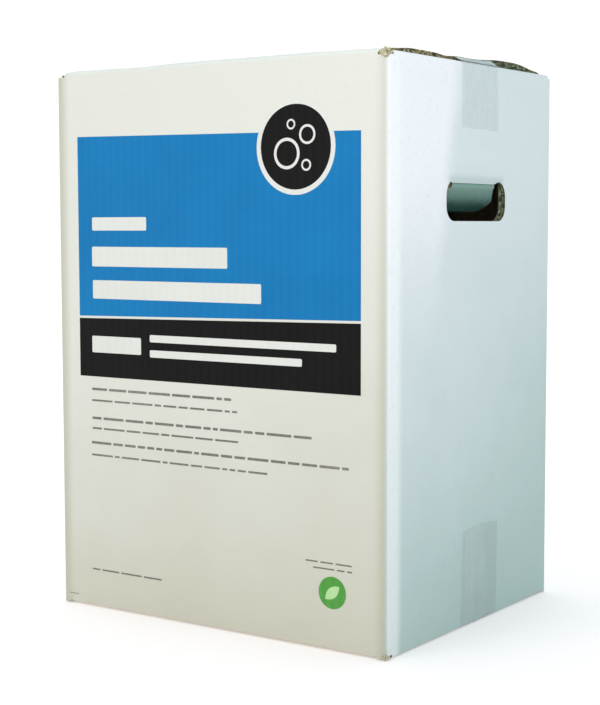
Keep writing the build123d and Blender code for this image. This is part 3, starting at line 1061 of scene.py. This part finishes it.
# %% Small print
words = random.Random(5)
SMALL_ROWS = [  # left, right, middle height and bar height, in mm
    (37, 185.5, 188.3, 3.4), (37, 191.5, 178.7, 2.6), (37, 263, 163.6, 3.4), (37, 196.5, 154.9, 2.6),
    (36, 303, 142.6, 3.4), (36, 221, 132.1, 2.6), (35, 112, 33.4, 2.2), (257, 305, 68.6, 1.9),
    (264, 300, 63.9, 1.9),
]
bm = bmesh.new()
for left, right_end, level, tall in SMALL_ROWS:
    start = left
    while start < right_end - 4:
        length = min(words.uniform(5, 24), right_end - start)
        place = ((start + length / 2) * MM, level * MM)
        patch(bm, place, length * MM, tall * 0.62 * MM, 0.6 * MM, 0.1 * MM)
        start += length + 2.2
patch(bm, (12.5 * MM, 9 * MM), 11 * MM, 1 * MM, 0.4 * MM, 0.1 * MM)
ink_piece("small_print", bm, grey_ink)

# %% Emblem
EMBLEM = (248.4 * MM, 385.5 * MM)


def discs(name, finish, lift, spots):
    """Flat discs on the emblem, each given by its place from the middle and its radius."""
    bm = bmesh.new()
    for x, z, radius in spots:
        place = (EMBLEM[0] + x * MM, EMBLEM[1] + z * MM)
        patch(bm, place, 2 * radius * MM, 2 * radius * MM, radius * MM, lift * MM)
    ink_piece(name, bm, finish)


discs("emblem_border", white_ink, 0.12, [(0, 0, 36.5)])
discs("emblem_disc", black_ink, 0.16, [(0, 0, 32.5)])
bubbles = [(-8, -5, 12), (11, 9, 7.5), (10, -14, 4.5), (-4, 17, 4)]
discs("emblem_bubbles", white_ink, 0.19, bubbles)
centres = [(-8, -5, 9.6), (11, 9, 5.6), (10, -14, 3), (-4, 17, 2.6)]
discs("emblem_bubble_centres", black_ink, 0.22, centres)

# %% Green disc with a leaf
SEAL = (281.8 * MM, 45.9 * MM)


def leaf(flat):
    """Bends a rectangle to a leaf that points up to the right."""
    share = flat.x / (8.5 * MM)
    wide = flat.y * (1 - share * share)
    return Vector((flat.x * 0.77 - wide * 0.64, flat.x * 0.64 + wide * 0.77))


bm = bmesh.new()
patch(bm, SEAL, 25.2 * MM, 25.2 * MM, 12.6 * MM, 0.1 * MM)
ink_piece("green_disc", bm, green_ink)
bm = bmesh.new()
patch(bm, SEAL, 17 * MM, 8.4 * MM, 0, 0.15 * MM, leaf, 1 * MM)
ink_piece("green_leaf", bm, pale_green_ink)

# %% [markdown]
# ## Clear tape
# One strip of clear tape closes the top flaps and one the bottom, and both run down or up
# the sides. Each is a ruled sheet again, laid over the carton by asking the carton where
# its surface is, so the tape dips into the seam and bridges from the flaps to the walls.

# %% Where the tape lies
FLAP_END = WIDTH / 2 - SETBACK
TAPE = 0.1 * MM
GLUE = 0.12 * MM
TAPE_PEAK = HEIGHT - 0.5 * MM  # where the tape turns over the side walls


def side_lift(x, y, z):
    """How far the side wall's surface lies outside the flat wall at a height."""
    if x > 0:
        return stand_out(PANELS["right"][0] + y, z)
    return stand_out(PANELS["left"][0] - y, z)


def top_surface(x, y):
    """The height of the top flaps' outer face."""
    if y < 0:
        return fold("front", x, HEIGHT + DEPTH / 2 + y, 0).z
    return fold("back", PANELS["back"][0] - x, HEIGHT + DEPTH / 2 - y, 0).z


def over_top(path, distance, y, lift):
    """A point of the top tape: on the wall, on the bridge to the flap ends, or on the flaps."""
    spot, normal = path.at(distance)
    side = math.copysign(1, spot.x)
    sink = settled(WIDTH / 2 + DEPTH / 2 + y, spot.y)
    if spot.y < TAPE_PEAK - 2 * MM:
        return Vector((spot.x + side * (side_lift(spot.x, y, spot.y) + lift), y, spot.y - sink))
    wall_x = WIDTH / 2 + side_lift(spot.x, y, HEIGHT - SLOT_DEPTH)
    if abs(spot.x) > FLAP_END:
        share = min(1.0, max(0.0, (wall_x - abs(spot.x)) / (wall_x - FLAP_END)))
        height = spot.y - SKIN - sink * (1 - share)
        height += share * (top_surface(side * FLAP_END, y) - TAPE_PEAK + SKIN)
        x = side * min(abs(spot.x), wall_x) + side * lift * (1 - share)
        return Vector((x, y, height + lift))
    dip = 0.5 * MM * bell(y, 0, 1.5 * MM)
    surface = max(top_surface(spot.x, y + 1.5 * MM), top_surface(spot.x, y))
    return Vector((spot.x, y, surface - dip + lift))


def under_bottom(path, distance, y, lift):
    """A point of the bottom tape: on the wall, or under the flaps."""
    spot, normal = path.at(distance)
    side = math.copysign(1, spot.x)
    if spot.y > 4 * MM:
        return Vector((spot.x + side * (side_lift(spot.x, y, spot.y) + lift), y, spot.y))
    wall = (WIDTH / 2 + side_lift(spot.x, y, 4 * MM)) / (WIDTH / 2)
    height = spot.y * 0.93 + SKIN * 0.8 + normal.y * (lift - TAPE)
    return Vector((spot.x * wall + normal.x * lift, y, height))


def tape_finish(knob):
    """Clear film with faint streaks, small air bubbles in its glue and fine scratches."""
    point, x, y, z = place_of(knob)
    streak = point.noise(60, 4, 0.6, (0.3, 1, 0.12)).step(0.35, 0.75)
    bubble = point.noise(330, 2, 0.5).step(0.63, 0.68)
    bridge = abs(x).step(FLAP_END - 2 * MM, FLAP_END + 2 * MM)
    bridge *= z.step(TAPE_PEAK - 3 * MM, TAPE_PEAK)
    soiled = z.step(110 * MM, 60 * MM)
    return {
        "Base Color": (streak + bridge * 0.5).mix((0.42, 0.53, 0.52), (0.71, 0.78, 0.77)),
        "Roughness": 0.16 + streak * 0.14,
        "Specular IOR Level": 0.9,
        "Alpha": 0.05 + streak * 0.08 + bubble * 0.08 + bridge * 0.55 + soiled * 0.07,
        "Normal": (streak * 0.5 + point.noise(24, 3, 0.5)).bump(0.35, 0.0008),
    }


def tape(name, node, path, place, ends):
    """A strip of tape along a path; ends(y, sign) says how far each end is torn back."""
    low_corner, high_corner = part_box(node)
    ys = ruled([low_corner.y, 0, high_corner.y], 1.6 * MM)
    stops = []
    for mark, radius in zip(path.marks, path.radii):
        stops += [mark + radius * i / 4 for i in range(-4, 5)] if radius else [mark]
    ds = ruled(stops, 6 * MM)
    bm = bmesh.new()
    top = sheet(bm, ds, ys)
    under = bmesh.ops.extrude_face_region(bm, geom=bm.faces[:], use_keep_orig=True)["geom"]
    lower = [item for item in under if isinstance(item, bmesh.types.BMVert)]
    for verts, level in ((top, TAPE), (lower, 0.0)):
        for vert in verts:
            distance, y = vert.co.x, vert.co.y
            at_edge = abs(y - ys[0]) < 1e-6
            for end, sign in ((ds[0], 1), (ds[-1], -1)):
                distance += sign * ends(y, sign) * (1 - smooth(abs(distance - end), 0, 18 * MM))
            if at_edge:
                y += 0.3 * MM * noise.noise(Vector((distance * 90, -y, 2.0)))
            vert.co = place(path, distance, y, GLUE + level)
    bmesh.ops.recalc_face_normals(bm, faces=bm.faces[:])
    made = new_object(name, bm, clear_film)
    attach(made, "box")
    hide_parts(node)


# %% Both tapes
def toothed(y, sign):
    """The end a dispenser's blade leaves."""
    teeth = 0.45 * MM * math.sin(y * 2 * math.pi / (3.2 * MM))
    return 0.5 * MM + teeth + 0.8 * MM * noise.noise(Vector((y * 50, sign, 0)))


def torn(y, sign):
    """An end torn by hand, higher in its middle."""
    bow = 2.5 * MM * ((y - 10 * MM) / (30 * MM)) ** 2
    return bow + 1.6 * MM * abs(noise.noise(Vector((y * 110, sign, 4)))) + 0.2 * MM


def strap(x, end, turn, radius):
    """The path up or down a side, across at the height of turn, and back on the other side."""
    corners = [((x, end), 0), ((x, turn), radius), ((-x, turn), radius), ((-x, end), 0)]
    return FoldPath(corners, 0)


clear_film = material("clear_film", tape_finish)
over = strap(WIDTH / 2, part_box("top_tape")[0].z, TAPE_PEAK, 2 * MM)
below = strap(-WIDTH / 2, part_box("bottom_tape")[1].z, 0, 2.4 * MM)
tape("top_tape_film", "top_tape", over, over_top, toothed)
tape("bottom_tape_film", "bottom_tape", below, under_bottom, torn)

# %% [markdown]
# ## The bag of powder
# The powder is in a sealed film bag that fills the carton to somewhat below the hand holes,
# so it shows only through them, as a dull slack shape. Cloth under pressure would settle to
# the same form, because the carton holds it on every side. So it starts as a cube instead,
# subdivided and drawn onto a rounded box, with noise that wrinkles it most near its top.

# %% Bag
bag_low, bag_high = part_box("powder_bag")
FIN = 6 * MM  # height of the sealed fin on top
BAG_CORNER = 22 * MM
bag_top = bag_high.z - FIN
bag_size = (bag_high - bag_low) / 2 - Vector((1, 1, 0)) * MM
bag_size.z = (bag_top - bag_low.z) / 2
rise = Vector((0, 0, (bag_top + bag_low.z) / 2))


def on_bag(unit):
    """Draws a point of a cube onto the rounded, slack bag."""
    spot = Vector(unit[i] * bag_size[i] for i in range(3))
    limits = [size - BAG_CORNER for size in bag_size]
    core = Vector(max(-limits[i], min(limits[i], spot[i])) for i in range(3))
    away = spot - core
    if away.length > 1e-9:
        spot = core + away.normalized() * BAG_CORNER * max(abs(a) / BAG_CORNER for a in away)
    spot += rise
    fine = noise.noise(Vector((spot.x * 30, spot.y * 30, spot.z * 12)))
    crease = 1 - abs(noise.noise(Vector((spot.x * 14, spot.y * 14, spot.z * 6 + 4))))
    level = smooth(spot.z, bag_top - 90 * MM, bag_top)
    pull = (1.2 + 1.5 * level) * MM * (1 - fine) + 3 * MM * level * crease
    inward = (spot - Vector((0, 0, (bag_low.z + bag_high.z) / 2))).normalized()
    return spot - inward * pull * smooth(spot.z, bag_low.z, bag_low.z + 30 * MM)


bm = bmesh.new()
bmesh.ops.create_cube(bm, size=2)
bmesh.ops.subdivide_edges(bm, edges=bm.edges[:], cuts=47, use_grid_fill=True)
for vert in bm.verts:
    vert.co = on_bag(vert.co)
    fin = bell(vert.co.y, 0, 9 * MM) * smooth(vert.co.z, bag_top - 30 * MM, bag_top - 8 * MM)
    vert.co.z += FIN * 0.9 * fin * (1 - smooth(abs(vert.co.x), 80 * MM, 105 * MM))
bmesh.ops.recalc_face_normals(bm, faces=bm.faces[:])


def film_finish(knob):
    """Dull grey film over powder, with creases."""
    point, x, y, z = place_of(knob)
    crease = point.noise(45, 5, 0.6, (1, 1, 0.5))
    colour = crease.step(0.3, 0.7).mix((0.42, 0.46, 0.50), (0.60, 0.64, 0.68))
    return {"Base Color": colour, "Roughness": 0.32 + crease * 0.2, "Normal": crease.bump(0.7, 0.002)}


bag = new_object("liner_bag", bm, material("liner_film", film_finish))
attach(bag, "box")
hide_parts("powder_bag")

# %% [markdown]
# ## Floor
# The carton stands on a wide disc of paper that takes its soft shadow. A lit sweep has no
# visible edge, so the disc glows faintly even beside the box, glows more further out, and
# turns as white as the world behind it. A shadow catcher would need settings outside this script.

# %% Floor
def floor_finish(knob):
    """Pale paper that glows faintly beside the box and fully away from it, as a lit studio sweep does.
    """
    point, x, y, z = place_of(knob)
    away = (x * x + y * y).maths("SQRT", x * x + y * y).step(0.25, 1.3)
    paper = point.noise(3, 3).mix((0.84, 0.785, 0.78), (0.87, 0.81, 0.80))
    return {
        "Base Color": away.mix(paper, (0.12, 0.12, 0.12)),
        "Roughness": 0.9,
        "Emission Color": away.mix((0.29, 0.272, 0.27), (1.02, 1.02, 1.02)),
        "Emission Strength": 1.0,
    }


bm = bmesh.new()
bmesh.ops.create_circle(bm, cap_ends=True, segments=64, radius=14)
floor = new_object("floor", bm, material("floor_paper", floor_finish))
